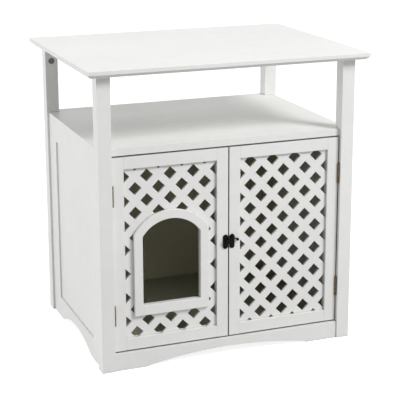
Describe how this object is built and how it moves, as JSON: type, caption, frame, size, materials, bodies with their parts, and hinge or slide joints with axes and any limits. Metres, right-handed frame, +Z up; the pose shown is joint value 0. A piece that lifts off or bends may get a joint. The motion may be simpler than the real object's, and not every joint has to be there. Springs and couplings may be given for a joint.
{
  "type": "cat litter box cabinet",
  "caption": "White side-table cabinet that hides a cat litter tray: open shelf, two latched lattice doors, an arched cat entrance and scalloped aprons.",
  "frame": {"origin": "bottom centre of the box round the whole cabinet, on the floor", "axes": "+X to the viewer's right, -Y towards the viewer and the doors, +Z up"},
  "size_m": [0.65, 0.5, 0.675],
  "materials": {
    "white_paint": "satin white paint on board and solid wood",
    "black_iron": "black painted metal",
    "antique_brass": "aged brass",
    "zinc_plate": "zinc plated, dull",
    "beech": "plain beech"
  },
  "bodies": {
    "root": {"tabletop": "white_paint", "post_front_left": "white_paint", "post_front_right": "white_paint", "post_rear_left": "white_paint", "post_rear_right": "white_paint", "shelf": "white_paint", "floor_board": "white_paint", "back_panel": "white_paint", "front_apron": "white_paint", "rear_apron": "white_paint", "door_stop": "white_paint", "left_side_stile_front": "white_paint", "left_side_stile_rear": "white_paint", "left_side_rail_top": "white_paint", "left_side_rail_bottom": "white_paint", "left_side_panel": "white_paint", "right_side_stile_front": "white_paint", "right_side_stile_rear": "white_paint", "right_side_rail_top": "white_paint", "right_side_rail_bottom": "white_paint", "right_side_panel": "white_paint", "cam_lock_nuts": "zinc_plate", "cam_bolts": "zinc_plate", "wood_dowels": "beech", "hinge_screws_posts": "antique_brass", "left_upper_hinge_frame_leaf": "antique_brass", "left_upper_hinge_pin": "antique_brass", "left_lower_hinge_frame_leaf": "antique_brass", "left_lower_hinge_pin": "antique_brass", "right_upper_hinge_frame_leaf": "antique_brass", "right_upper_hinge_pin": "antique_brass", "right_lower_hinge_frame_leaf": "antique_brass", "right_lower_hinge_pin": "antique_brass"},
    "left_door": {"left_door_hinge_stile": "white_paint", "left_door_meeting_stile": "white_paint", "left_door_rail_top": "white_paint", "left_door_rail_bottom": "white_paint", "left_door_lattice": "white_paint", "left_upper_hinge_door_leaf": "antique_brass", "left_lower_hinge_door_leaf": "antique_brass", "hinge_screws_left_door": "antique_brass", "entrance_trim": "white_paint", "catch_plate": "black_iron", "catch_stud": "black_iron", "catch_plate_screws": "black_iron"},
    "right_door": {"right_door_hinge_stile": "white_paint", "right_door_meeting_stile": "white_paint", "right_door_rail_top": "white_paint", "right_door_rail_bottom": "white_paint", "right_door_lattice": "white_paint", "right_upper_hinge_door_leaf": "antique_brass", "right_lower_hinge_door_leaf": "antique_brass", "hinge_screws_right_door": "antique_brass", "latch_plate": "black_iron", "latch_plate_screw": "black_iron", "latch_pivot": "black_iron"},
    "latch_lever": {"latch_lever": "black_iron"}
  },
  "joints": [
    {"name": "left_door_hinge", "type": "hinge", "parent": "root", "child": "left_door", "pos_m": [-0.2676, -0.2184, 0.26225], "axis": [0, 0, -1], "range_deg": [0, 110]},
    {"name": "right_door_hinge", "type": "hinge", "parent": "root", "child": "right_door", "pos_m": [0.2676, -0.2184, 0.26225], "axis": [0, 0, 1], "range_deg": [0, 110]},
    {"name": "latch_pivot_hinge", "type": "hinge", "parent": "right_door", "child": "latch_lever", "pos_m": [0.0078, -0.2213, 0.277], "axis": [0, 1, 0], "range_deg": [0, 55]}
  ]
}
